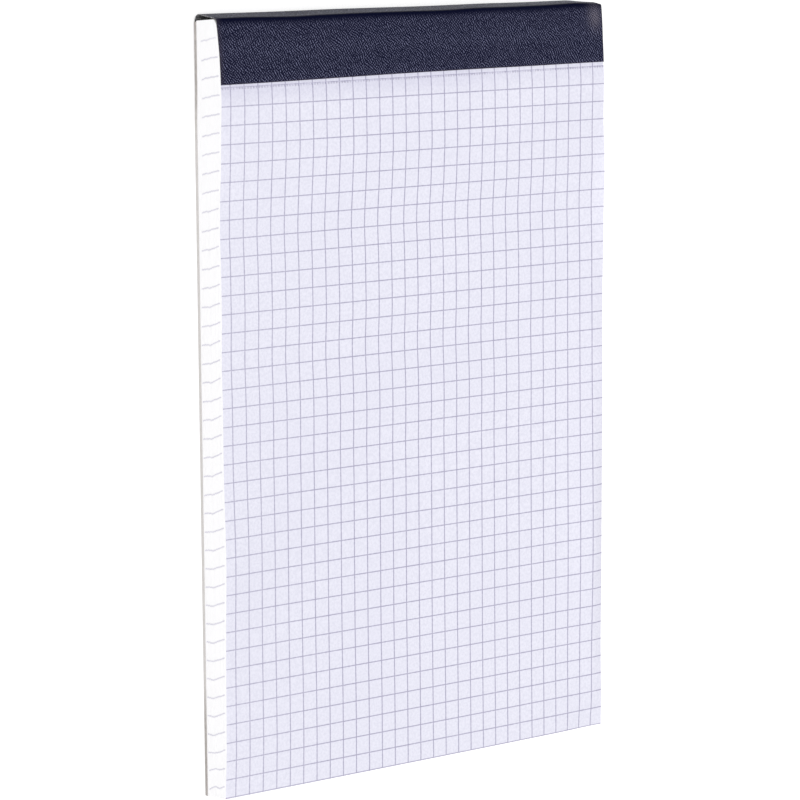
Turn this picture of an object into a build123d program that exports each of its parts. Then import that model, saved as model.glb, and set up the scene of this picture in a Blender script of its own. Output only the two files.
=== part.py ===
from build123d import *
import os
from math import atan, hypot, tan

# A squared writing pad bound at its head, lying on its back board, in millimetres.
# The origin is under the middle of the pad, on the surface that it lies on. +X points to the
# right-hand edge of the front page, +Y to the bound head and +Z out of the front page.

# The trimmed pad, with its strip
PAD_WIDTH = 148.0
PAD_LENGTH = 209.5

# The leatherette strip, folded over the head
STRIP_THICKNESS = 0.25
STRIP_FRONT_FLAP = 18.5
STRIP_BACK_FLAP = 18.0
FRONT_FOLD_RADIUS = 0.8
BACK_FOLD_RADIUS = 1.8
HEAD_LEAN = 1.0
HEAD_LEAN_FROM = 3.0
HEAD_LEAN_RADIUS = 8.0

# The grey board, which lifts by the strip's thickness where the back flap passes under it
BOARD_THICKNESS = 0.9
BOARD_RAMP_LENGTH = 8.0
BOARD_RAMP_RADIUS = 40.0
BOARD_FOLD_CLEARANCE = 0.2

# The sheets, as stack heights over the board: they droop at the foot, lie slack up the page,
# swell under the strip and are pinched at the head
STACK_AT_FOOT = 7.1
STACK_ABOVE_DROOP = 7.6
STACK_BELOW_SWELL = 8.8
STACK_AT_SWELL = 9.75
STACK_AT_HEAD = 7.9
DROOP_LENGTH = 12.0
DROOP_RADIUS = 120.0
SWELL_LENGTH = 30.0
SWELL_FOOT_RADIUS = 300.0
SWELL_BELOW_STRIP = 4.0
HEAD_HOLLOW = 0.3
SHEET_HEAD_SLANT = 0.15
SHEET_HEAD_RADIUS = 0.8

# The micro-perforation that the sheets tear along
PERFORATION_BELOW_STRIP = 1.0
PERFORATION_CUT = 0.62
PERFORATION_TIE = 0.4
PERFORATION_WIDTH = 0.2

# The two flat-wire staples, pressed flush into the sheets and the board
STAPLE_WIDTH = 0.7
STAPLE_THICKNESS = 0.5
STAPLE_CROWN = 13.0
STAPLE_CLINCH_GAP = 4.6
STAPLE_BEND_RADIUS = 0.7
STAPLE_SPACING = 76.0
STAPLE_BELOW_HEAD = 8.5
STAPLE_CLEARANCE = 0.03

CUT_OVERRUN = 1.0

head_y = PAD_LENGTH / 2
foot_y = -PAD_LENGTH / 2
# The head stands square above the back fold, then leans back to the front fold
fold_y = head_y - HEAD_LEAN
strip_edge_y = head_y - STRIP_FRONT_FLAP
flap_edge_y = head_y - STRIP_BACK_FLAP
perforation_y = strip_edge_y - PERFORATION_BELOW_STRIP
# Both flaps and the perforation are on flat faces: the board's ramp and the swell end just below them
flat_from_y = perforation_y - PERFORATION_WIDTH
ramp_round = BOARD_RAMP_RADIUS * tan(atan(STRIP_THICKNESS / BOARD_RAMP_LENGTH) / 2)
ramp_top_y = min(flap_edge_y, flat_from_y) - ramp_round
ramp_foot_y = ramp_top_y - BOARD_RAMP_LENGTH
board_head_y = head_y - BACK_FOLD_RADIUS - BOARD_FOLD_CLEARANCE
board_head_z = STRIP_THICKNESS + BOARD_THICKNESS

# The front of the sheets climbs from the drooping foot to the swell, then falls to the pinched head
sheet_head_y = fold_y - STRIP_THICKNESS - HEAD_HOLLOW
sheet_head_z = board_head_z + STACK_AT_HEAD
sheet_foot_z = BOARD_THICKNESS + STACK_AT_FOOT
droop_y = foot_y + DROOP_LENGTH
droop_z = BOARD_THICKNESS + STACK_ABOVE_DROOP
swell_y = strip_edge_y - SWELL_BELOW_STRIP
swell_z = BOARD_THICKNESS + STACK_AT_SWELL
swell_foot_y = swell_y - SWELL_LENGTH
swell_foot_z = BOARD_THICKNESS + STACK_BELOW_SWELL
climb = (swell_z - swell_foot_z) / SWELL_LENGTH
fall = (swell_z - sheet_head_z) / (sheet_head_y - swell_y)
# Length along the falling front for each millimetre along Y
fall_stretch = hypot(1, fall)
swell_radius = (flat_from_y - swell_y) * fall_stretch / tan((atan(climb) + atan(fall)) / 2)


def pinched_z(y):
    """Height of the sheets' front face under the strip."""
    return swell_z - fall * (y - swell_y)


# The wire's middle in the crown, which just touches the front flap, and in the clinches, on the back flap
staple_y = head_y - STAPLE_BELOW_HEAD
crown_z = pinched_z(staple_y + STAPLE_WIDTH / 2) - STAPLE_THICKNESS / 2
clinch_z = STRIP_THICKNESS + STAPLE_THICKNESS / 2


def across_pad(*corners):
    """A solid as wide as the pad from its side outline, given as corners (y, z, rounding radius)."""
    points = [(y, z) for y, z, radius in corners]
    radii = [radius for y, z, radius in corners]
    outline = Plane.YZ * FilletPolyline(*points, radius=radii, close=True)
    return extrude(make_face(outline), amount=PAD_WIDTH / 2, both=True)


def staple_wire(clearance):
    """Crown, legs and inward clinches of both staples, with a clearance all round the wire."""
    half_crown = (STAPLE_CROWN - STAPLE_THICKNESS) / 2
    half_gap = STAPLE_CLINCH_GAP / 2
    points = [
        (-half_gap, clinch_z),
        (-half_crown, clinch_z),
        (-half_crown, crown_z),
        (half_crown, crown_z),
        (half_crown, clinch_z),
        (half_gap, clinch_z),
    ]
    path = Pos(0, staple_y, 0) * (Plane.XZ * FilletPolyline(*points, radius=STAPLE_BEND_RADIUS))
    section = Rectangle(STAPLE_WIDTH + 2 * clearance, STAPLE_THICKNESS + 2 * clearance)
    wire = sweep(Plane(origin=path @ 0, x_dir=(0, 1, 0), z_dir=path % 0) * section, path=path)
    return [Pos(side * STAPLE_SPACING / 2, 0, 0) * wire for side in (-1, 1)]


def staple_grooves():
    """What the staples press out of the sheets and the board: wire holes, opened out to the strip."""
    width = STAPLE_WIDTH + 2 * STAPLE_CLEARANCE
    crown_length = STAPLE_CROWN + 2 * STAPLE_CLEARANCE
    clinch_length = (STAPLE_CROWN - STAPLE_CLINCH_GAP) / 2 + 2 * STAPLE_CLEARANCE
    crown = Box(crown_length, width, CUT_OVERRUN, align=(Align.CENTER, Align.CENTER, Align.MIN))
    clinch = Box(clinch_length, width, CUT_OVERRUN, align=(Align.CENTER, Align.CENTER, Align.MAX))
    cuts = staple_wire(STAPLE_CLEARANCE)
    for side in (-1, 1):
        staple_x = side * STAPLE_SPACING / 2
        cuts.append(Pos(staple_x, staple_y, crown_z) * crown)
        for leg in (-1, 1):
            leg_x = staple_x + leg * (STAPLE_CROWN + STAPLE_CLINCH_GAP) / 4
            cuts.append(Pos(leg_x, staple_y, clinch_z) * clinch)
    return cuts


def perforations():
    """The row of slits through all the sheets, which stops short of both edges."""
    pitch = PERFORATION_CUT + PERFORATION_TIE
    count = int(PAD_WIDTH // pitch)
    height = swell_z + CUT_OVERRUN
    slit = Box(PERFORATION_CUT, PERFORATION_WIDTH, height, align=(Align.CENTER, Align.CENTER, Align.MIN))
    first_x = -(count - 1) / 2 * pitch
    return [Pos(first_x + step * pitch, perforation_y, 0) * slit for step in range(count)]


def page_block():
    """The sheets as one solid, perforated, with grooves where the staples press into them."""
    block = across_pad(
        (foot_y, BOARD_THICKNESS, 0),
        (ramp_foot_y, BOARD_THICKNESS, BOARD_RAMP_RADIUS),
        (ramp_top_y, board_head_z, BOARD_RAMP_RADIUS),
        (sheet_head_y - SHEET_HEAD_SLANT, board_head_z, 0),
        (sheet_head_y, sheet_head_z, SHEET_HEAD_RADIUS),
        (swell_y, swell_z, swell_radius),
        (swell_foot_y, swell_foot_z, SWELL_FOOT_RADIUS),
        (droop_y, droop_z, DROOP_RADIUS),
        (foot_y, sheet_foot_z, 0),
    )
    return block - staple_grooves() - perforations()


def back_board():
    """The board behind the sheets, with a low ramp over the strip's back flap."""
    board = across_pad(
        (foot_y, 0, 0),
        (ramp_foot_y, 0, BOARD_RAMP_RADIUS),
        (ramp_top_y, STRIP_THICKNESS, BOARD_RAMP_RADIUS),
        (board_head_y, STRIP_THICKNESS, 0),
        (board_head_y, board_head_z, 0),
        (ramp_top_y, board_head_z, BOARD_RAMP_RADIUS),
        (ramp_foot_y, BOARD_THICKNESS, BOARD_RAMP_RADIUS),
        (foot_y, BOARD_THICKNESS, 0),
    )
    return board - staple_grooves()


def head_strip():
    """The strip: front flap on the pinched sheets, folded over the head, back flap under the board."""
    rise = STRIP_THICKNESS * fall_stretch
    lean = STRIP_THICKNESS * fall / fall_stretch
    inside_head_y = head_y - STRIP_THICKNESS
    inside_fold_y = fold_y - STRIP_THICKNESS
    outer_edge_y = strip_edge_y + lean
    return across_pad(
        (strip_edge_y, pinched_z(strip_edge_y), 0),
        (outer_edge_y, pinched_z(outer_edge_y) + rise, 0),
        (fold_y, pinched_z(fold_y) + rise, FRONT_FOLD_RADIUS),
        (head_y, HEAD_LEAN_FROM, HEAD_LEAN_RADIUS),
        (head_y, 0, BACK_FOLD_RADIUS),
        (flap_edge_y, 0, 0),
        (flap_edge_y, STRIP_THICKNESS, 0),
        (inside_head_y, STRIP_THICKNESS, BACK_FOLD_RADIUS - STRIP_THICKNESS),
        (inside_head_y, HEAD_LEAN_FROM, HEAD_LEAN_RADIUS - STRIP_THICKNESS),
        (inside_fold_y, pinched_z(inside_fold_y), FRONT_FOLD_RADIUS - STRIP_THICKNESS),
    )


nodes = {
    "page_block": page_block(),
    "back_board": back_board(),
    "head_strip": head_strip(),
    "staples": Compound(staple_wire(0)),
}
os.makedirs("parts", exist_ok=True)
for name, shape in nodes.items():
    export_step(shape, f"parts/{name}.step")
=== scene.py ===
import math

import bmesh
import bpy
import numpy as np
from mathutils import Matrix, Vector


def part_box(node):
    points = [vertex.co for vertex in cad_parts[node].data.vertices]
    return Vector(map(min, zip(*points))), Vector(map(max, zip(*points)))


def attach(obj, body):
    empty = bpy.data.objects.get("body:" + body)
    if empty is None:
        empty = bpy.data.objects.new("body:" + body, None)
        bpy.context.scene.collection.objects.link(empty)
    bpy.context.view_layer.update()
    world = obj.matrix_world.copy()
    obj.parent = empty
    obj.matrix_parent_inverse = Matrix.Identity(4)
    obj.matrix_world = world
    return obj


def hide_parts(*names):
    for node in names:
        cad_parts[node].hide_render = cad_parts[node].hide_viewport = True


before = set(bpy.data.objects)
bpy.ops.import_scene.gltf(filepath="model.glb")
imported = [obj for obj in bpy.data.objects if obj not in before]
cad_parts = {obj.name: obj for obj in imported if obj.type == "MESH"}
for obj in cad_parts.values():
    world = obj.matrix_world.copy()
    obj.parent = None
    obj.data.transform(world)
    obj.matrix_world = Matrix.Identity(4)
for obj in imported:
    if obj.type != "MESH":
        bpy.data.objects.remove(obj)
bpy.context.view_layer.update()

# A squared writing pad, lying on its board. Sizes are in millimetres, and MM turns them into metres.
# +X is to the right of the front page, +Y is to the bound head and +Z is out of the front page.
MM = 0.001
TOUCH = 0.001
SEED = 7

# The stack of sheets
SHEETS = 80
SHEET_STRAY = 0.07
ROW_STEP = 2.5
NECK_BELOW_HEAD = 3.0
HEAD_JUT = 0.4
HEAD_ROUND = 0.6
HEAD_ROUND_FROM = 0.85
SHEET_SHARP_ANGLE = 35.0

# Kinds of faces on the stack: the front page, the foot and head edges, the side edges and the back
PAGE, END_EDGE, SIDE_EDGE, BACK = range(4)

# Slack in the top sheet, as waves: (y, reach along y, height at the left, middle and right)
PAGE_WAVES = (
    (72, 9, -0.14, 0.58, -0.20),
    (57, 6, -0.30, 0.15, 0.15),
    (46, 8, -0.45, -0.50, -0.12),
    (32, 6, -0.10, -0.14, 0.05),
    (13, 8, -0.27, -0.42, 0.10),
    (-15, 6, -0.05, -0.14, 0.05),
    (-37, 28, 0.00, -0.25, -0.12),
    (-64, 14, 0.10, -0.13, 0.00),
    (-84, 18, 0.16, -0.02, -0.42),
    (-105, 8, -0.10, 0.40, 0.05),
)

# Curled sides of the top sheet: (side, share of half the width where it starts, y, reach along y, height)
SIDE_CURLS = (
    (1, 0.955, 52, 16, 0.70),
    (1, 0.955, 13, 10, -0.25),
    (1, 0.955, -50, 40, -0.95),
    (1, 0.70, -42, 38, 0.72),
    (-1, 0.75, -45, 22, 0.30),
    (-1, 0.60, -40, 15, 0.42),
)
RIPPLE = 0.05
# The strip holds the sheet down from the first to the second of these distances below its edge
HELD_BELOW_STRIP = (7.0, 1.2)
# The right-hand foot corner droops, but its edge less: places are shares of half the width
CORNER_DROOP = 0.45
CORNER_DROOP_REACH = 8.0
CORNER_DROOP_FROM = (0.74, 0.92)
CORNER_EDGE_FROM = 0.965
CORNER_EDGE_STIFFNESS = 0.8

# The printed squares, which bleed to every edge of the sheet and run a little askew
SQUARE = 5.0
UPRIGHT_LINE_WIDTH = 0.35
LEVEL_LINE_WIDTH = 0.285
LINE_BLUR = 0.22
BLEED_BLUR = 0.42
BLEED_STRAY = 0.12
BLEED_STRENGTH = 0.68
RULING_MIDDLE_X = -0.56
RULING_LEAN = -0.0015
RULING_FOOT = 0.19
RULING_TILT = -0.001
LEFT_PALER = 0.14

# How far below the top sheet's line it shows on the trimmed sides, at some levels of the stack
BLEED_LEVELS = (0.06, 0.20, 0.36, 0.45, 0.62, 0.92)
BLEED_AT_HEAD = (1.40, 1.25, 0.72, 0.78, 0.40, 0.0)
BLEED_AT_MIDDLE = (1.50, 1.35, 1.18, 1.35, 0.85, 0.0)
BLEED_LOW = (0.78, 0.95, 1.12, 1.00, 0.65, 0.0)
BLEED_AT_FOOT = (0.85, 0.50, 0.15, 0.05, 0.50, 0.0)
LOW_TO_MIDDLE_Y = (-75, -15)
MIDDLE_TO_HEAD_Y = (10, 75)
FOOT_TO_LOW = (7, 14)
BLEED_BELOW_LINE = 1.75
BLEED_SLANT = 0.9
BLEED_TREMBLE = 0.06
# The lowest sheets, as shares of the stack, and the top ones show no bleed
BARE_SHEETS = 0.03
BARE_AT_HEAD = 0.14
BARE_AT_FOOT = 0.04
BARE_FOOT_REACH = 20
BLEED_RISE = 0.05
BLEED_FADE = (0.90, 0.95)
BLEED_ENDS_BELOW_HEAD = (7, 5)

# The perforation under the strip: pinched slits with paper ties between them
PERFORATION_BELOW_STRIP = 1.0
PERFORATION_CUT = 0.62
PERFORATION_TIE = 0.4
SLIT_HALF_WIDTH = 0.3
SLIT_DEPTH = 0.3
TIE_MARK = 0.5
SLIT_MARK = 1.0
# Painted shade: the paper is greyed below the strip, where shade falls under its edge, less to the right
SHADE_BELOW_STRIP_REACH = 7.0
SHADE_BELOW_STRIP_FULL = 0.8
SHADE_WEAKER_TO = 0.6
SHADE_AT_RIGHT = 0.55

# The strip's embossed grain
GRAIN_STEP_ACROSS = 0.235
GRAIN_STEP_ALONG = 0.16
FOLD_STEP = 0.12
BACK_STEP = 1.2
BEND_WEIGHT = 4.0
COARSE_EVERY = 4
GRAIN_WAVES_ACROSS = 1.30
GRAIN_WAVES_ALONG = 1.78
GRAIN_PATCH = 0.8
GRAIN_PATCH_CUTOFF = 2.2
GRAIN_LEAN = 33.0
GRAIN_SCATTER = 0.2
GRAIN_WANDER = 0.10
GRAIN_SIZE_SCATTER = 0.08
GRAIN_CONTRAST = 1.1
GRAIN_PATCHES = 2.6
CROSSING_LEAN = -42.0
CROSSING_FINER = 1.12
CROSSING_HEIGHT = 0.62
GRAIN_EVEN_OVER = 1.6
GRAIN_DEPTH = 0.07
STRIP_EDGE_ROUND = 0.1
PATH_STEP = 0.03
PATH_SMOOTH_OVER = 8
SPACING_STEP = 0.05
STRIP_SHARP_ANGLE = 50.0

# Where the strip is smooth, pressed or made paler: the crease, the cut edges, the left end and the right
# corner. Smooth below the crease, it is coloured near black, as painted shade of the fold.
FOLD_HALF = 0.9
SMOOTH_BELOW_CREASE = (2.7, 0.4)
FOLD_TOP_PAST_CREASE = (0.2, 0.45)
FOLD_TOP_ENDS = (66, 71)
PRESSED_WIDTH = 0.3
SELVAGE_WIDTH = 1.1
SELVAGE_STRENGTH = 0.8
BACK_RELIEF = 0.42
PALING_FROM_EDGE = 3.1
PALING_ACROSS = 2.6
PALING_BELOW_FOLD = 4.1
PALING_ALONG = 3.6

# How the bound head sits: both folds sag toward the right, given as soft steps (from x, to x, drop),
# and the right-hand corner is rounded by handling
FRONT_FOLD_SAG = (
    (-66, -44, 0.38),
    (-44, -34, -0.10),
    (-20, -4, 0.10),
    (-8, 12, 0.18),
    (12, 24, -0.17),
    (26, 40, 0.10),
    (48, 66, -0.20),
    (64, 73, 0.35),
)
BACK_FOLD_SAG = (
    (-74, -40, 0.22),
    (-30, 16, 0.34),
    (30, 54, 0.19),
    (67, 74, 0.68),
)
# The front flap's edge also runs askew, higher from the middle on
FLAP_EDGE_RISE = (
    (-66, 4, 0.34),
    (24, 50, -0.06),
)
FLAP_EDGE_REACH = 10.0
SAG_REACH = 9.0
HEAD_LEAN = 1.0
CORNER_ROUND = 1.3
FLAP_BOW = 0.22
FOLD_LIFT_LEFT = -0.2
FOLD_LIFT_RIGHT = 0.42
BACK_FLAP_TUCK = 0.45
CORNER_BELOW_FOLD = 0.2
FOLD_LIFT_FROM = 0.3
TUCK_FROM = 0.95
# Heights between which the moves of the head set in
FRONT_SAG_Z = (3.0, 7.0)
BACK_SAG_Z = (-0.5, 1.2)
CORNER_ROUND_Z = (3.0, 6.0)
LIFT_Z = (2.0, 8.0)
FRONT_FLAP_Z = (4.0, 6.0)
BACK_FLAP_Z = (0.6, 3.0)

# The photograph's camera
CAMERA_LENS = 215.6
CAMERA_TARGET = (-7.94, -2.98, 9.3)
CAMERA_DISTANCE = 1315.5
CAMERA_ELEVATION = 44.83
CAMERA_AZIMUTH = -99.41
CAMERA_ROLL = 96.03
CAMERA_SENSOR = 36.0

# The studio. A lamp is (direction, distance in metres, size in metres, watts)
WORLD_LEVEL = 0.60
KEY_LAMP = ((-0.85, -0.05, 0.52), 6.0, 5.0, 184.0)
FILL_LAMP = ((0.30, 0.0, 0.95), 1.0, 0.8, 2.5)
FLOOR_HALF = 6.0
FLOOR_BELOW = 0.05
FLOOR_GLOW = 0.5


def smooth(low, high, value):
    """0 below low, 1 above high and a soft step between them."""
    t = np.clip((value - low) / (high - low), 0, 1)
    return t * t * (3 - 2 * t)


def box_mm(node):
    """A CAD node's lowest and highest corners, in millimetres."""
    low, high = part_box(node)
    return np.array(low) / MM, np.array(high) / MM


def end_outline(node):
    """A CAD node's left end as a closed run of (y, z) corners, in millimetres, read from its mesh."""
    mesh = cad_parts[node].data
    corners = [tuple(round(value / MM, 4) for value in vertex.co) for vertex in mesh.vertices]
    left = min(corner[0] for corner in corners)
    edges = set()
    for polygon in mesh.polygons:
        ring = [corners[index] for index in polygon.vertices]
        if all(corner[0] - left < TOUCH for corner in ring):
            edges.update(zip(ring, ring[1:] + ring[:1]))
    following = {here: there for here, there in edges if (there, here) not in edges}
    run = [min(following)]
    while following[run[-1]] != run[0]:
        run.append(following[run[-1]])
    return np.array(run)[:, 1:]


def add_piece(name, points, faces, material, node):
    """A closed mesh from points in millimetres, which stands for a CAD node and rides on the pad."""
    mesh = bpy.data.meshes.new(name)
    mesh.from_pydata((np.asarray(points) * MM).tolist(), [], faces)
    mesh.validate()
    shape = bmesh.new()
    shape.from_mesh(mesh)
    if shape.calc_volume(signed=True) < 0:
        bmesh.ops.reverse_faces(shape, faces=shape.faces)
    shape.to_mesh(mesh)
    shape.free()
    mesh.shade_smooth()
    mesh.materials.append(material)
    piece = bpy.data.objects.new(name, mesh)
    bpy.context.scene.collection.objects.link(piece)
    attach(piece, "root")
    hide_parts(node)
    return piece


def store(mesh, name, domain, values):
    """Stores a float, or a vector, for each point, face or face corner of a mesh."""
    values = np.asarray(values, float)
    kind = "FLOAT" if values.ndim == 1 else "FLOAT_VECTOR"
    attribute = mesh.attributes.new(name, kind, domain)
    attribute.data.foreach_set("value" if values.ndim == 1 else "vector", values.ravel())


def bridge(lower, upper):
    """Faces between two rows of (x, vertex) pairs. The second row has all the places of the first."""
    faces = []
    upper_x = [x for x, vertex in upper]
    for (x0, a), (x1, b) in zip(lower, lower[1:]):
        first = int(np.argmin(np.abs(np.array(upper_x) - x0)))
        last = int(np.argmin(np.abs(np.array(upper_x) - x1)))
        faces.append([a, b] + [upper[k][1] for k in range(last, first - 1, -1)])
    return faces


strip_low, strip_high = box_mm("head_strip")
page_low, page_high = box_mm("page_block")
half_width = page_high[0]
foot_y = page_low[1]
head_y = strip_high[1]
strip_edge_y = strip_low[1]
perforation_y = strip_edge_y - PERFORATION_BELOW_STRIP


def ramps(steps, value):
    """The sum of some soft steps."""
    return sum(rise * smooth(low, high, value) for low, high, rise in steps)


def settle_head(points):
    """Moves points near the head as the sagging folds and the rounded right-hand corner have them."""
    x, y, z = points.T
    fold_y = head_y - HEAD_LEAN
    back = ramps(BACK_FOLD_SAG, x)
    drop = back + (ramps(FRONT_FOLD_SAG, x) - back) * smooth(*FRONT_SAG_Z, z)
    y = y - drop * smooth(head_y - SAG_REACH, fold_y, y) * smooth(*BACK_SAG_Z, z)
    reach_x = np.maximum(x - (half_width - CORNER_ROUND), 0)
    reach_y = np.maximum(y - (fold_y - CORNER_BELOW_FOLD - CORNER_ROUND), 0)
    longest = np.maximum(reach_x, reach_y)
    shrink = np.where(longest > 0, longest / np.maximum(np.hypot(reach_x, reach_y), TOUCH), 1)
    round_off = smooth(*CORNER_ROUND_Z, z) * (1 - shrink)
    share = np.clip((y - strip_edge_y) / (fold_y - strip_edge_y), 0, 1)
    fold_lift = FOLD_LIFT_LEFT + (FOLD_LIFT_RIGHT - FOLD_LIFT_LEFT) * (x + half_width) / (2 * half_width)
    lift = FLAP_BOW * np.sin(math.pi * share) + fold_lift * smooth(FOLD_LIFT_FROM, 1.0, share)
    z = z + lift * smooth(*LIFT_Z, z)
    return np.column_stack([x - reach_x * round_off, y - reach_y * round_off, z])


def lay_flap_edge(points):
    """Moves the front flap's edge up the pad, as it was laid on askew."""
    x, y, z = points.T
    near_edge = 1 - smooth(0, FLAP_EDGE_REACH, y - strip_edge_y)
    rise = ramps(FLAP_EDGE_RISE, x) * near_edge * smooth(*FRONT_FLAP_Z, z)
    return np.column_stack([x, y + rise, z])


def tuck_back_flap(points):
    """Draws in the ends of the strip's back flap and back fold, which are trimmed short of the board."""
    x, y, z = points.T
    at_ends = smooth(TUCK_FROM, 1.0, np.abs(x) / half_width)
    tuck = BACK_FLAP_TUCK * (1 - smooth(*BACK_FLAP_Z, z)) * at_ends
    return np.column_stack([x - np.sign(x) * tuck, y, z])


class SheetStack:
    """The sheets as one closed mesh: stepped sheet edges all round and a waved, perforated front page."""

    def __init__(self):
        outline = end_outline("page_block")
        y, z = outline.T
        middle = (z.min() + z.max()) / 2
        self.front = outline[z > middle][np.argsort(y[z > middle])]
        self.back = outline[z < middle][np.argsort(y[z < middle])]
        self.neck_y = y.max() - NECK_BELOW_HEAD
        beyond = outline[y > self.neck_y]
        self.head = beyond[np.argsort(beyond[:, 1])]
        pitch = PERFORATION_CUT + PERFORATION_TIE
        slits = int(2 * half_width // pitch)
        self.slit_x = (np.arange(slits) - (slits - 1) / 2) * pitch
        ties = (self.slit_x[1:] + self.slit_x[:-1]) / 2
        self.columns = np.concatenate([[-half_width], ties[1:-1:2], [half_width]])
        self.rows = self.row_places()

    def row_places(self):
        """Where the rows of the front page run, with two close ones along the slits."""
        low = perforation_y - SLIT_HALF_WIDTH
        high = perforation_y + SLIT_HALF_WIDTH
        below = np.linspace(foot_y, low - ROW_STEP / 4, int((low - foot_y) / ROW_STEP))
        above = np.linspace(high + ROW_STEP / 4, self.neck_y, int((self.neck_y - high) / ROW_STEP) + 1)
        self.slit_row = len(below)
        return np.concatenate([below, [low, high], above])

    def wave(self, x, y):
        """How far the top sheet stands off its even form, in millimetres."""
        across = x / half_width
        lift = RIPPLE * np.sin(3.1 * across + 0.047 * y) * np.sin(0.028 * y - 1.7 * across)
        for middle_y, reach, left, middle, right in PAGE_WAVES:
            tall = middle + (right - left) / 2 * across + ((left + right) / 2 - middle) * across**2
            lift = lift + tall * np.exp(-(((y - middle_y) / reach) ** 2))
        for side, inner, middle_y, reach, tall in SIDE_CURLS:
            near = np.exp(-(((y - middle_y) / reach) ** 2))
            lift = lift + tall * smooth(inner, 1.0, side * across) * near
        held_from, held_to = (strip_edge_y - below for below in HELD_BELOW_STRIP)
        held = 1 - smooth(held_from, held_to, y)
        stiff = CORNER_EDGE_STIFFNESS * smooth(CORNER_EDGE_FROM, 1.0, across)
        inside = smooth(*CORNER_DROOP_FROM, across) * (1 - stiff)
        corner = -CORNER_DROOP * inside * (1 - smooth(0, CORNER_DROOP_REACH, y - foot_y))
        return lift * held + corner

    def height(self, x, y, level):
        """Height of a sheet at a level from 0, on the board, to 1, the front page."""
        back = np.interp(y, self.back[:, 0], self.back[:, 1])
        front = np.interp(y, self.front[:, 0], self.front[:, 1])
        lifted = back + (front - back) * level + self.wave(x, y) * level**2
        return np.minimum(lifted, page_high[2] - TOUCH)

    def head_edge(self, level):
        """The (y, z) place of a sheet's bound edge."""
        z = self.head[0, 1] + (self.head[-1, 1] - self.head[0, 1]) * level
        rounded = smooth(HEAD_ROUND_FROM, 1.0, level)
        jut = HEAD_JUT * level * (1 - rounded) - HEAD_ROUND * rounded
        return np.interp(z, self.head[:, 1], self.head[:, 0]) + jut, z

    def ring(self, level, stray):
        """A sheet's edge once round, from the left foot corner, counted anticlockwise from the front."""
        wide = half_width - stray
        foot = foot_y + stray
        head, head_z = self.head_edge(level)
        side_y = np.concatenate([[foot], self.rows[1:]])
        across_x = np.clip(self.columns, -wide, wide)
        foot_run = np.column_stack([across_x, np.full(len(across_x), foot)])
        right_run = np.column_stack([np.full(len(side_y) - 1, wide), side_y[1:]])
        head_run = np.column_stack([across_x[::-1], np.full(len(across_x), head - stray)])
        left_run = np.column_stack([np.full(len(side_y) - 1, -wide), side_y[:0:-1]])
        flat = np.concatenate([foot_run, right_run, head_run, left_run])
        z = self.height(flat[:, 0], flat[:, 1], level)
        is_head = slice(len(foot_run) + len(right_run), len(foot_run) + len(right_run) + len(head_run))
        z[is_head] = head_z
        return np.column_stack([flat, z])

    def build(self, material):
        """The mesh, its ruling coordinates and its piece."""
        rng = np.random.default_rng(SEED)
        strays = rng.uniform(0, SHEET_STRAY, SHEETS)
        bleeds = rng.uniform(-BLEED_STRAY, BLEED_STRAY, SHEETS)
        rings = []
        levels = []
        for sheet, stray in enumerate(strays):
            for level in (sheet / SHEETS, (sheet + 1) / SHEETS):
                rings.append(self.ring(level, stray))
                levels.append(level)
        around = len(rings[0])
        points = np.concatenate(rings)
        point_levels = np.repeat(levels, around)
        point_bleeds = np.repeat(bleeds, 2 * around)
        faces = []
        kinds = []
        columns = len(self.columns)
        rows = len(self.rows)
        foot_end = columns - 1
        right_end = foot_end + rows
        head_end = right_end + columns - 1
        for k in range(len(rings) - 1):
            for i in range(around):
                j = (i + 1) % around
                faces.append([k * around + i, k * around + j, (k + 1) * around + j, (k + 1) * around + i])
                kinds.append(END_EDGE if i < foot_end or right_end <= i < head_end else SIDE_EDGE)
        faces += self.back_faces(columns, rows, right_end, head_end, around)
        kinds += [BACK] * (len(faces) - len(kinds))
        page_points, page_faces, page_cuts = self.front_page(points[-around:], len(points) - around)
        points = np.concatenate([points, page_points])
        point_levels = np.concatenate([point_levels, np.ones(len(page_points))])
        point_bleeds = np.concatenate([point_bleeds, np.zeros(len(page_points))])
        cuts = [0.0] * len(faces) + page_cuts
        faces += page_faces
        kinds += [PAGE] * (len(faces) - len(kinds))
        piece = add_piece("sheet_stack", settle_head(points), faces, material, "page_block")
        self.mark_ruling(piece.data, points, point_levels, point_bleeds, np.array(kinds))
        store(piece.data, "cut", "FACE", cuts)
        piece.data.set_sharp_from_angle(angle=math.radians(SHEET_SHARP_ANGLE))
        return piece

    def back_faces(self, columns, rows, right_end, head_end, around):
        """The face on the board, in bands from the left edge to the right edge."""
        def left(row):
            return 0 if row == 0 else around - row

        def right(row):
            return columns - 1 + row

        faces = [[*range(columns), right(1), left(1)][::-1]]
        for row in range(1, rows - 1):
            faces.append([left(row), left(row + 1), right(row + 1), right(row)])
        faces.append([left(rows - 1), *range(head_end, right_end - 1, -1), right(rows - 1)])
        return faces

    def front_page(self, border, first):
        """Points and faces of the front page inside its edge, and each face's perforation mark."""
        columns = len(self.columns)
        rows = len(self.rows)
        around = len(border)
        points = []
        next_vertex = first + around

        def add(x, y, drop=0.0):
            points.append((x, y, float(self.height(x, y, 1.0)) - drop))
            return next_vertex + len(points) - 1

        def left(row):
            return first if row == 0 else first + around - row

        def right(row):
            return first + columns - 1 + row

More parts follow.
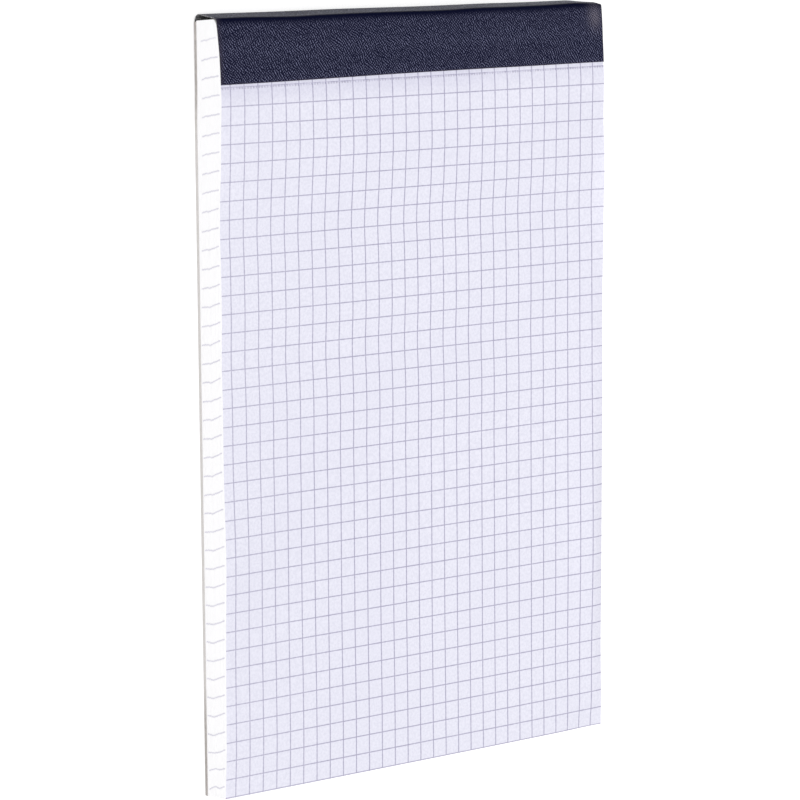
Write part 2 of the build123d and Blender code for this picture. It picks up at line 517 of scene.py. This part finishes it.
        coarse = list(self.columns[1:-1])
        cut = PERFORATION_CUT / 2
        fine = sorted(coarse + [x + side * cut for x in self.slit_x for side in (-1, 1)])
        grid = [[(x, first + k) for k, x in enumerate(self.columns)]]
        for row in range(1, rows):
            inner = fine if row in (self.slit_row, self.slit_row + 1) else coarse
            places = [(x, add(x, self.rows[row])) for x in inner]
            grid.append([(-half_width, left(row)), *places, (half_width, right(row))])
        head = [(x, first + columns - 1 + rows - 1 + columns - k) for k, x in enumerate(self.columns)]
        grid.append(head)
        faces = []
        cuts = []
        for row, (lower, upper) in enumerate(zip(grid, grid[1:])):
            if row == self.slit_row:
                slit_faces, cuts_here = self.slit_faces(lower, upper, add)
                faces += slit_faces
                cuts = [0.0] * (len(faces) - len(slit_faces)) + cuts_here
            elif row == self.slit_row + 1:
                faces += [face[::-1] for face in bridge(upper, lower)]
            else:
                faces += bridge(lower, upper)
        cuts += [0.0] * (len(faces) - len(cuts))
        return np.array(points), faces, cuts

    def slit_faces(self, lower, upper, add):
        """Faces of the perforation's row, with their marks: flat ties, and slits pressed in to a line."""
        faces = []
        cuts = []
        for (x0, a), (x1, b), (_, c), (_, d) in zip(lower, lower[1:], upper[1:], upper):
            nearest = np.min(np.abs(self.slit_x - (x0 + x1) / 2))
            if nearest > TOUCH:
                faces.append([a, b, c, d])
                cuts.append(TIE_MARK)
                continue
            e = add(x0 + SLIT_HALF_WIDTH, perforation_y, SLIT_DEPTH)
            f = add(x1 - SLIT_HALF_WIDTH, perforation_y, SLIT_DEPTH)
            faces += [[a, b, f, e], [b, c, f], [c, d, e, f], [d, a, e]]
            cuts += [SLIT_MARK] * 4
        return faces, cuts

    def bleed_lag(self, y, level):
        """How far below the top sheet's line the same line shows on the trimmed edge of a deeper sheet."""
        head = np.interp(level, BLEED_LEVELS, BLEED_AT_HEAD)
        middle = np.interp(level, BLEED_LEVELS, BLEED_AT_MIDDLE)
        low = np.interp(level, BLEED_LEVELS, BLEED_LOW)
        foot = np.interp(level, BLEED_LEVELS, BLEED_AT_FOOT)
        lag = low + (middle - low) * smooth(*LOW_TO_MIDDLE_Y, y)
        lag = lag + (head - middle) * smooth(*MIDDLE_TO_HEAD_Y, y)
        lag = lag + (foot - low) * (1 - smooth(*FOOT_TO_LOW, y - foot_y))
        slope = BLEED_SLANT * (head_y - y) / (2 * head_y) * (1 - level)
        return BLEED_BELOW_LINE + lag + slope + BLEED_TREMBLE * np.sin(1.9 * y + 11 * level)

    def mark_ruling(self, mesh, points, levels, bleeds, kinds):
        """Stores where each face corner lies on the printed squares, and how strongly they show there."""
        corner_vertex = np.zeros(len(mesh.loops), int)
        mesh.loops.foreach_get("vertex_index", corner_vertex)
        sizes = np.zeros(len(mesh.polygons), int)
        mesh.polygons.foreach_get("loop_total", sizes)
        kind = np.repeat(kinds, sizes)
        x, y, z = points[corner_vertex].T
        level = levels[corner_vertex]
        off_line = SQUARE / 2
        lag = self.bleed_lag(y, level) + bleeds[corner_vertex]
        beside = x - RULING_MIDDLE_X - RULING_LEAN * y
        above = y - foot_y - RULING_FOOT - RULING_TILT * x
        across = np.where(kind <= END_EDGE, beside, off_line)
        up = np.where(kind == PAGE, above, np.where(kind == SIDE_EDGE, above + lag, off_line))
        at_foot = 1 - smooth(0, BARE_FOOT_REACH, y - foot_y)
        first = BARE_SHEETS + BARE_AT_HEAD * smooth(*MIDDLE_TO_HEAD_Y, y) + BARE_AT_FOOT * at_foot
        bleed = BLEED_STRENGTH * smooth(first, first + BLEED_RISE, level) * (1 - smooth(*BLEED_FADE, level))
        ends_from, ends_to = (head_y - below for below in BLEED_ENDS_BELOW_HEAD)
        bleed = bleed * (1 - smooth(ends_from, ends_to, y))
        print_level = 1 - LEFT_PALER * (1 - smooth(-half_width, -half_width / 4, x))
        strength = np.where(kind == PAGE, print_level, np.where(kind == BACK, 0.0, bleed))
        store(mesh, "ruling", "CORNER", np.column_stack([across, up, strength]))
        store(mesh, "printed_side", "CORNER", np.where(kind == PAGE, 1.0, 0.0))


class HeadStrip:
    """The leatherette strip as one closed mesh, with its embossed grain as relief on the front flap."""

    def __init__(self):
        outline = end_outline("head_strip")
        outline = np.roll(outline, -int(np.argmax(outline[:, 1])), axis=0)
        if outline[1, 0] < outline[0, 0]:
            outline = np.concatenate([outline[:1], outline[:0:-1]])
        turn = int(np.argmin(outline.sum(axis=1)))
        self.outer = outline[: turn + 1]
        self.inner = outline[turn + 1 :]
        places = np.arange(0, self.lengths(self.outer)[-1], FOLD_STEP)
        _, normals = self.sample(self.outer, places)
        self.crease = places[np.argmax(normals[:, 0] > normals[:, 1])]
        columns = int(round(2 * half_width / GRAIN_STEP_ACROSS / COARSE_EVERY)) * COARSE_EVERY
        self.fine_x = np.linspace(-half_width, half_width, columns + 1)
        self.coarse_x = self.fine_x[::COARSE_EVERY]

    @staticmethod
    def lengths(path):
        """Length along a path to each of its points."""
        return np.concatenate([[0], np.cumsum(np.hypot(*np.diff(path, axis=0).T))])

    def spaced(self, path, start, stop):
        """Lengths along a path from start to stop, closer together where it bends."""
        fine = np.linspace(start, stop, int((stop - start) / SPACING_STEP))
        _, normals = self.sample(path, fine)
        turn = np.concatenate([[0], np.linalg.norm(np.diff(normals, axis=0), axis=1)])
        effort = fine - start + BEND_WEIGHT * np.cumsum(turn)
        return np.interp(np.linspace(0, effort[-1], int(effort[-1] / BACK_STEP) + 1), effort, fine)

    def sample(self, path, places):
        """Points at given lengths along a path, its faceted bends smoothed, and their outward normals."""
        along = self.lengths(path)
        fine = np.linspace(0, along[-1], int(along[-1] / PATH_STEP))
        y = np.interp(fine, along, path[:, 0])
        z = np.interp(fine, along, path[:, 1])
        window = np.hanning(2 * PATH_SMOOTH_OVER + 1)
        window /= window.sum()
        padded = [np.pad(v, PATH_SMOOTH_OVER, mode="reflect", reflect_type="odd") for v in (y, z)]
        y, z = (np.convolve(v, window, "valid") for v in padded)
        normal = np.column_stack([-np.gradient(z), np.gradient(y)])
        normal /= np.linalg.norm(normal, axis=1)[:, None]
        at = [np.interp(places, fine, v) for v in (y, z, normal[:, 0], normal[:, 1])]
        return np.column_stack(at[:2]), np.column_stack(at[2:])

    def ridges(self, s, rng, lean, finer):
        """One family of embossed ridges: short waves laid side by side, evened out to the same height."""
        x = self.fine_x
        height = np.zeros((len(s), len(x)))
        reach = int(GRAIN_PATCH_CUTOFF * GRAIN_PATCH / GRAIN_STEP_ALONG)
        reach_x = int(GRAIN_PATCH_CUTOFF * GRAIN_PATCH / GRAIN_STEP_ACROSS)
        for _ in range(int(s[-1] * 2 * half_width * GRAIN_PATCHES)):
            row = rng.integers(0, len(s))
            column = rng.integers(0, len(x))
            place = x[column] / half_width
            wander = math.sin(5.1 * place + 0.21 * s[row]) + math.sin(17 * place - 0.5 * s[row])
            angle = math.radians(lean) + GRAIN_WANDER * wander + rng.normal(0, GRAIN_SCATTER)
            waves = finer * rng.normal(1, GRAIN_SIZE_SCATTER)
            rows = slice(max(row - reach, 0), row + reach + 1)
            columns = slice(max(column - reach_x, 0), column + reach_x + 1)
            ds, dx = np.meshgrid(s[rows] - s[row], x[columns] - x[column], indexing="ij")
            # s grows towards the head, so a ridge that falls to the right is crossed along (cos, sin)
            over = dx * math.cos(angle) * GRAIN_WAVES_ACROSS + ds * math.sin(angle) * GRAIN_WAVES_ALONG
            swell = np.exp(-(dx**2 + ds**2) / GRAIN_PATCH**2)
            height[rows, columns] += swell * np.cos(2 * math.pi * (over * waves + rng.uniform()))
        power = height**2
        for axis, step in ((0, GRAIN_STEP_ALONG), (1, GRAIN_STEP_ACROSS)):
            window = np.hanning(2 * int(GRAIN_EVEN_OVER / step) + 1)
            weight = np.convolve(np.ones(power.shape[axis]), window, "same")
            power = np.apply_along_axis(np.convolve, axis, power, window, "same")
            power = power / np.expand_dims(weight, 1 - axis)
        return height / np.sqrt(power + TOUCH)

    def grain(self, places):
        """The embossed grain over the unrolled strip, from 0 in the valleys to 1 on the ridges."""
        rng = np.random.default_rng(SEED + 1)
        s = np.arange(0, places[-1] + GRAIN_STEP_ALONG, GRAIN_STEP_ALONG)
        height = self.ridges(s, rng, GRAIN_LEAN, 1.0)
        height = height + CROSSING_HEIGHT * self.ridges(s, rng, CROSSING_LEAN, CROSSING_FINER)
        level = 0.5 + 0.5 * np.tanh(GRAIN_CONTRAST * height)
        rows = np.clip(places / GRAIN_STEP_ALONG, 0, len(s) - 1)
        low = np.floor(rows).astype(int)
        high = np.minimum(low + 1, len(s) - 1)
        share = (rows - low)[:, None]
        return level[low] * (1 - share) + level[high] * share

    def corner_paling(self, places):
        """How much paler the strip is made, from 0 to 1: most near its rounded corner."""
        x = self.fine_x[None, :]
        below = (self.crease - places)[:, None]
        across = (x - half_width + PALING_FROM_EDGE) / PALING_ACROSS
        along = (below - PALING_BELOW_FOLD) / PALING_ALONG
        return np.exp(-(across**2) - along**2)

    def build(self, material):
        """The mesh, its grain and paling values and its piece."""
        total = self.lengths(self.outer)[-1]
        inner_total = self.lengths(self.inner)[-1]
        fold_from = self.crease - FOLD_HALF
        fold_to = self.crease + FOLD_HALF
        grain_rows = np.linspace(0, fold_from, int(fold_from / GRAIN_STEP_ALONG))
        fine_rows = np.concatenate([grain_rows[:-1], np.arange(fold_from, fold_to, FOLD_STEP)])
        back_rows = self.spaced(self.outer, fold_to, total)
        inner_rows = self.spaced(self.inner, 0, inner_total)

        places, normals = self.sample(self.outer, fine_rows)
        grain = self.grain(fine_rows)
        smooth_from, smooth_to = (self.crease - below for below in SMOOTH_BELOW_CREASE)
        relief = 1 - smooth(smooth_from, smooth_to, fine_rows)
        edge = np.minimum(half_width - np.abs(self.fine_x)[None, :], fine_rows[:, None])
        selvage = SELVAGE_STRENGTH * np.exp(-(((self.fine_x + half_width) / SELVAGE_WIDTH) ** 2))[None, :]
        pressed = np.maximum(np.exp(-((edge / PRESSED_WIDTH) ** 2)), selvage)
        sink = GRAIN_DEPTH * (1 - grain) * relief[:, None] * (1 - pressed) + STRIP_EDGE_ROUND * pressed
        fine_y = places[:, 0, None] - normals[:, 0, None] * sink
        fine_z = places[:, 1, None] - normals[:, 1, None] * sink
        fine = np.stack([np.broadcast_to(self.fine_x, fine_y.shape), fine_y, fine_z], axis=2)

        back, _ = self.sample(self.outer, back_rows)
        inner, _ = self.sample(self.inner, inner_rows)
        blocks = [fine]
        for path in (back, inner):
            x = np.broadcast_to(self.coarse_x, (len(path), len(self.coarse_x)))
            y = np.broadcast_to(path[:, :1], x.shape)
            z = np.broadcast_to(path[:, 1:], x.shape)
            blocks.append(np.stack([x, y, z], axis=2))
        ids = []
        first = 0
        for block in blocks:
            count = block.shape[0] * block.shape[1]
            ids.append(first + np.arange(count).reshape(block.shape[:2]))
            first += count
        points = np.concatenate([block.reshape(-1, 3) for block in blocks])
        faces, cores = self.faces(*ids)
        points = tuck_back_flap(lay_flap_edge(settle_head(points)))
        piece = add_piece("strip_cover", points, faces, material, "head_strip")

        top_from, top_to = (self.crease + past for past in FOLD_TOP_PAST_CREASE)
        top = smooth(top_from, top_to, fine_rows)[:, None] * (1 - smooth(*FOLD_TOP_ENDS, self.fine_x))
        mesh = piece.data
        # Each value over the fine rows, and the one that all the other points have
        values = {
            "grain": (grain, 0.0),
            "plain": (np.zeros(fine_y.shape), 1.0),
            "relief": (np.broadcast_to(relief[:, None], fine_y.shape), BACK_RELIEF),
            "pressed": (pressed, 0.0),
            "corner_paling": (self.corner_paling(fine_rows), 0.0),
            "top": (top, 0.0),
        }
        for name, (on_fine, elsewhere) in values.items():
            others = np.full(len(points) - fine_y.size, elsewhere)
            store(mesh, name, "POINT", np.concatenate([on_fine.ravel(), others]))
        store(mesh, "core", "FACE", cores)
        mesh.set_sharp_from_angle(angle=math.radians(STRIP_SHARP_ANGLE))
        return piece

    def faces(self, fine, back, inner):
        """Quads along each run of the strip, wider where fine columns meet coarse ones, and both ends."""
        faces = []
        for rows in (fine, back):
            for a, b in zip(rows, rows[1:]):
                faces += np.column_stack([a[:-1], a[1:], b[1:], b[:-1]]).tolist()
        faces += self.widen(fine[-1], back[0])
        grained = len(faces)
        for a, b in zip(inner, inner[1:]):
            faces += np.column_stack([a[:-1], a[1:], b[1:], b[:-1]]).tolist()
        faces += np.column_stack([back[-1][:-1], back[-1][1:], inner[0][1:], inner[0][:-1]]).tolist()
        faces += [face[::-1] for face in self.widen(fine[0], inner[-1])]
        faces.append([rows[0] for block in (fine, back, inner) for rows in block])
        faces.append([rows[-1] for block in (fine, back, inner) for rows in block][::-1])
        cores = np.arange(len(faces)) >= grained
        return [[int(vertex) for vertex in face] for face in faces], cores.astype(float)

    @staticmethod
    def widen(fine, coarse):
        """Faces from a row of fine columns to a row of coarse ones."""
        faces = []
        for k in range(len(coarse) - 1):
            start = k * COARSE_EVERY
            faces.append([*fine[start : start + COARSE_EVERY + 1], coarse[k + 1], coarse[k]])
        return faces


class Shader:
    """A material with a Principled surface, and short ways to add nodes to it."""

    def __init__(self, name, **constants):
        self.material = bpy.data.materials.new(name)
        self.material.use_nodes = True
        self.tree = self.material.node_tree
        self.surface = self.tree.nodes["Principled BSDF"]
        for socket, value in constants.items():
            self.surface.inputs[socket.replace("_", " ")].default_value = value

    def node(self, kind, *values, **settings):
        """A node with its settings, and its first inputs set to values or joined to sockets."""
        node = self.tree.nodes.new("ShaderNode" + kind)
        for name, value in settings.items():
            setattr(node, name, value)
        for socket, value in zip(node.inputs, values):
            self.feed(socket, value)
        return node

    def feed(self, socket, value):
        """Joins a socket to another, or sets it to a constant. None leaves it as it is."""
        if isinstance(value, bpy.types.NodeSocket):
            self.tree.links.new(value, socket)
        elif value is not None:
            socket.default_value = value

    def out(self, name, value):
        """Feeds one of the surface's own inputs."""
        self.feed(self.surface.inputs[name], value)

    def place(self):
        """Where the point lies on the object, in metres."""
        return self.node("TexCoord").outputs["Object"]

    def stretched(self, x, y, z):
        """The same, in millimetres, stretched along each axis."""
        scale = (x / MM, y / MM, z / MM)
        return self.node("VectorMath", self.place(), scale, operation="MULTIPLY").outputs[0]

    def value(self, name):
        """A float that the mesh stores."""
        return self.node("Attribute", attribute_name=name).outputs["Fac"]

    def math(self, operation, *values):
        return self.node("Math", *values, operation=operation).outputs[0]

    def noise(self, vector, scale, detail=2.0, roughness=0.5):
        return self.node("TexNoise", vector, None, scale, detail, roughness).outputs["Fac"]

    def step(self, value, low, high, to_low=0.0, to_high=1.0):
        """A soft step from to_low to to_high while a value goes from low to high."""
        return self.node(
            "MapRange", value, low, high, to_low, to_high, interpolation_type="SMOOTHSTEP"
        ).outputs["Result"]

    def mix(self, share, first, second, blend="MIX"):
        """A colour between two, by share."""
        node = self.node("Mix", share, data_type="RGBA", blend_type=blend)
        self.feed(node.inputs[6], first)
        self.feed(node.inputs[7], second)
        return node.outputs[2]

    def bump(self, height, depth, normal=None):
        """A normal from a height of 0 to 1 that stands for a depth in millimetres."""
        node = self.node("Bump")
        node.inputs["Strength"].default_value = 1.0
        node.inputs["Distance"].default_value = depth * MM
        self.feed(node.inputs["Height"], height)
        self.feed(node.inputs["Normal"], normal)
        return node.outputs["Normal"]


def paper_material():
    """Matt white paper with a pale squared ruling on the page and its bleed on the trimmed edges."""
    shader = Shader("paper", Roughness=0.85, Specular_IOR_Level=0.25)
    ruling = shader.node("Attribute", attribute_name="ruling").outputs["Vector"]
    across, up, strength = shader.node("SeparateXYZ", ruling).outputs
    printed = shader.value("printed_side")
    lines = []
    for place, width in ((across, UPRIGHT_LINE_WIDTH), (up, LEVEL_LINE_WIDTH)):
        inside = shader.step(printed, 0.0, 1.0, (width - BLEED_BLUR) / 2, (width - LINE_BLUR) / 2)
        outside = shader.step(printed, 0.0, 1.0, (width + BLEED_BLUR) / 2, (width + LINE_BLUR) / 2)
        distance = shader.math("PINGPONG", place, SQUARE / 2)
        lines.append(shader.step(distance, inside, outside, 1.0, 0.0))
    cut = shader.value("cut")
    ragged = shader.noise(shader.stretched(1, 1, 1), 0.45, 2.0)
    torn = shader.step(ragged, 0.3, 0.7, 0.15, 0.7)
    kept = shader.math("SUBTRACT", 1.0, shader.step(cut, 0.0, TIE_MARK, 0.0, torn))
    lines[1] = shader.math("MULTIPLY", lines[1], kept)
    both = shader.math("MAXIMUM", *lines)
    patchy = shader.step(shader.noise(shader.stretched(1, 1, 1), 1.3), 0.2, 0.8, 0.75, 1.0)
    ink = shader.math("MULTIPLY", shader.math("MULTIPLY", both, strength), patchy)
    cloud = shader.noise(shader.stretched(1, 1, 1), 0.03, 3.0)
    page = shader.mix(shader.step(cloud, 0.3, 0.7), (0.848, 0.843, 0.953, 1), (0.870, 0.865, 0.969, 1))
    fleck = shader.noise(shader.stretched(1, 1, 1), 1.3, 4.0, 0.7)
    page = shader.mix(shader.step(fleck, 0.36, 0.64), page, (0.784, 0.780, 0.892, 1))
    beside, along, _ = shader.node("SeparateXYZ", shader.stretched(1, 1, 1)).outputs
    # Painted shade below the strip: the page colour is made darker in a band under its edge, weaker to the
    # right.
    shade_below_strip = shader.step(along, strip_edge_y - SHADE_BELOW_STRIP_REACH, strip_edge_y - SHADE_BELOW_STRIP_FULL)
    weaker = shader.step(beside, 0.0, half_width * SHADE_WEAKER_TO, 1.0, SHADE_AT_RIGHT)
    shade_below_strip = shader.math("MULTIPLY", shade_below_strip, weaker)
    page = shader.mix(shade_below_strip, page, (0.893, 0.888, 0.922, 1), "MULTIPLY")
    # The trimmed edges are a paler, neutral white than the page: partly the untinted cut paper, partly
    # painted light for the brighter lit sides.
    edge = (0.93, 0.925, 0.935, 1)
    bare = shader.mix(printed, edge, page)
    # Painted shadow in the pressed slits of the perforation: their faces are made grey.
    slit_shadow = shader.step(cut, 0.6, SLIT_MARK, 0.0, shader.step(ragged, 0.3, 0.7, 0.55, 0.2))
    bare = shader.mix(slit_shadow, bare, (0.42, 0.41, 0.48, 1))
    shader.out("Base Color", shader.mix(ink, bare, (0.365, 0.345, 0.49, 1)))
    fibre = shader.noise(shader.stretched(1, 1, 1), 4.0, 4.0, 0.6)
    shader.out("Normal", shader.bump(fibre, 0.012))
    return shader.material


def leatherette_material():
    """Navy coated paper, embossed with a leather grain. Its ridges are paler, partly from paler print and
    partly as painted highlight, and its valleys are near black as painted shade.
    """
    shader = Shader("leatherette", Roughness=0.4, Specular_IOR_Level=0.03)
    plain = shader.value("plain")
    pebble = shader.step(shader.noise(shader.stretched(2.2, 2.6, 2.6), 1.0, 1.0), 0.3, 0.7)
    grain = shader.math("MULTIPLY_ADD", plain, pebble, shader.value("grain"))
    relief = shader.value("relief")
    broken = shader.step(shader.noise(shader.stretched(1, 1, 1), 2.3, 1.0), 0.3, 0.7, 0.65, 1.0)
    # Pale ridges: partly paler print, partly painted glint. The near-black valleys below are painted shade.
    ridge_print_and_glint = shader.math("MULTIPLY", shader.step(grain, 0.5, 0.95), broken)
    ridge_print_and_glint = shader.math("MULTIPLY", ridge_print_and_glint, relief)
    # Where relief fades below the crease the ridges go and the ground is darkest: painted shade of the
    # fold.
    ground = shader.mix(relief, (0.0002, 0.0010, 0.0150, 1), (0.0026, 0.0036, 0.0200, 1))
    skin = shader.mix(ridge_print_and_glint, ground, (0.190, 0.197, 0.314, 1))
    edge = shader.math("MULTIPLY", shader.value("pressed"), 0.7)
    skin = shader.mix(edge, skin, (0.036, 0.029, 0.046, 1))
    # The ridges are made paler grey towards the rounded right-hand corner.
    paling = shader.math("MULTIPLY", shader.value("corner_paling"), shader.step(grain, 0.1, 0.9, 0.08, 0.9))
    skin = shader.mix(paling, skin, (0.186, 0.170, 0.212, 1))
    cloud = shader.noise(shader.stretched(0.15, 1, 1), 0.5, 3.0)
    fold = shader.mix(cloud, (0.013, 0.012, 0.030, 1), (0.026, 0.024, 0.046, 1))
    skin = shader.mix(shader.value("top"), skin, fold)
    fibres = shader.step(shader.noise(shader.stretched(1.5, 1.5, 1.5), 1.6, 3.0), 0.45, 0.7)
    paper = shader.mix(fibres, (0.10, 0.10, 0.105, 1), (0.42, 0.415, 0.42, 1))
    shader.out("Base Color", shader.mix(shader.value("core"), skin, paper))
    fine = shader.noise(shader.stretched(1, 1, 1), 5.0, 3.0)
    embossed = shader.bump(shader.math("MULTIPLY", plain, pebble), 0.06)
    shader.out("Normal", shader.bump(fine, 0.02, embossed))
    return shader.material


def greyboard_material():
    """Uncoated grey pulp board with fibres and specks."""
    shader = Shader("greyboard", Roughness=0.9, Specular_IOR_Level=0.2)
    pulp = shader.noise(shader.stretched(1, 1, 2), 0.5, 6.0, 0.65)
    fibres = shader.noise(shader.stretched(3.0, 0.5, 3.0), 1.2, 3.0)
    base = shader.mix(shader.step(pulp, 0.3, 0.7), (0.36, 0.335, 0.32, 1), (0.48, 0.45, 0.435, 1))
    pale = shader.step(fibres, 0.62, 0.75)
    dark = shader.step(shader.noise(shader.stretched(1.3, 1.3, 1.3), 1.7, 2.0), 0.68, 0.78)
    base = shader.mix(shader.math("MULTIPLY", pale, 0.5), base, (0.55, 0.52, 0.49, 1))
    base = shader.mix(shader.math("MULTIPLY", dark, 0.6), base, (0.16, 0.14, 0.125, 1))
    normal = shader.node("TexCoord").outputs["Normal"]
    on_edge = shader.step(shader.math("ABSOLUTE", shader.node("SeparateXYZ", normal).outputs[0]), 0.5, 0.9)
    along = shader.math("ABSOLUTE", shader.node("SeparateXYZ", shader.stretched(1, 1, 1)).outputs[1])
    # The side edges are made paler along their middle, back to the board's grey towards the head and foot.
    paler_middle = shader.math("MULTIPLY", on_edge, shader.step(along, 70.0, 88.0, 0.55, 0.0))
    shader.out("Base Color", shader.mix(paler_middle, base, (0.80, 0.785, 0.775, 1)))
    shader.out("Normal", shader.bump(pulp, 0.05))
    return shader.material


def wire_material():
    """Drawn steel wire."""
    shader = Shader("staple_wire", Metallic=1.0, Roughness=0.35)
    streak = shader.noise(shader.stretched(0.3, 6.0, 6.0), 2.0, 2.0)
    shader.out("Base Color", shader.mix(streak, (0.50, 0.51, 0.52, 1), (0.62, 0.63, 0.64, 1)))
    return shader.material


def floor_material():
    """A pale floor that keeps the shadow and looks white to the camera, also in reflections."""
    shader = Shader("floor", Base_Color=(0.78, 0.78, 0.78, 1), Roughness=0.9, Specular_IOR_Level=0.1)
    path = shader.node("LightPath").outputs
    seen = shader.math("MAXIMUM", path["Is Camera Ray"], path["Is Glossy Ray"])
    seen = shader.math("MAXIMUM", seen, path["Is Transmission Ray"])
    shader.surface.inputs["Emission Color"].default_value = (1, 1, 1, 1)
    shader.out("Emission Strength", shader.math("MULTIPLY", seen, FLOOR_GLOW))
    return shader.material


def add_floor():
    """The plain floor under the pad."""
    mesh = bpy.data.meshes.new("floor")
    corners = [(x * FLOOR_HALF, y * FLOOR_HALF, 0) for x, y in ((-1, -1), (1, -1), (1, 1), (-1, 1))]
    mesh.from_pydata(corners, [], [(0, 1, 2, 3)])
    mesh.materials.append(floor_material())
    floor = bpy.data.objects.new("floor", mesh)
    floor.location.z = -FLOOR_BELOW * MM
    bpy.context.scene.collection.objects.link(floor)


def add_lamp(name, toward, distance, size, watts):
    """A square soft lamp, at a distance in metres in some direction from the pad."""
    lamp = bpy.data.lights.new(name, "AREA")
    lamp.size = size
    lamp.energy = watts
    piece = bpy.data.objects.new(name, lamp)
    piece.location = Vector(toward).normalized() * distance
    piece.rotation_euler = Vector(toward).to_track_quat("Z", "Y").to_euler()
    bpy.context.scene.collection.objects.link(piece)


def add_light():
    """Even light from all round, white to the camera, a soft lamp from the left and a weak one above."""
    world = bpy.data.worlds.new("studio")
    world.use_nodes = True
    background = world.node_tree.nodes["Background"]
    background.inputs["Color"].default_value = (1, 1, 1, 1)
    path = world.node_tree.nodes.new("ShaderNodeLightPath")
    level = world.node_tree.nodes.new("ShaderNodeMapRange")
    level.inputs["To Min"].default_value = WORLD_LEVEL
    level.inputs["To Max"].default_value = 1.0
    world.node_tree.links.new(path.outputs["Is Camera Ray"], level.inputs["Value"])
    world.node_tree.links.new(level.outputs["Result"], background.inputs["Strength"])
    bpy.context.scene.world = world
    add_lamp("key", *KEY_LAMP)
    add_lamp("fill", *FILL_LAMP)


def add_camera():
    """The photograph's viewpoint, turned so that the head of the pad points up the picture."""
    azimuth = math.radians(CAMERA_AZIMUTH)
    elevation = math.radians(CAMERA_ELEVATION)
    level = math.cos(elevation)
    back = Vector((math.sin(azimuth) * level, -math.cos(azimuth) * level, math.sin(elevation)))
    camera = bpy.data.cameras.new("camera")
    camera.lens = CAMERA_LENS
    camera.sensor_width = CAMERA_SENSOR
    camera.clip_start = 0.05
    camera.clip_end = 50.0
    piece = bpy.data.objects.new("camera", camera)
    flat = back.to_track_quat("Z", "Y").to_matrix()
    roll = Matrix.Rotation(math.radians(CAMERA_ROLL), 3, "Z")
    place = (Vector(CAMERA_TARGET) + back * CAMERA_DISTANCE) * MM
    piece.matrix_world = Matrix.Translation(place) @ (flat @ roll).to_4x4()
    bpy.context.scene.collection.objects.link(piece)
    bpy.context.scene.camera = piece


def dress(node, material):
    """Gives a CAD node that stays in view its material."""
    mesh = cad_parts[node].data
    mesh.materials.clear()
    mesh.materials.append(material)


SheetStack().build(paper_material())
HeadStrip().build(leatherette_material())
dress("back_board", greyboard_material())
dress("staples", wire_material())
add_floor()
add_light()
add_camera()
bpy.context.scene.view_settings.view_transform = "Standard"
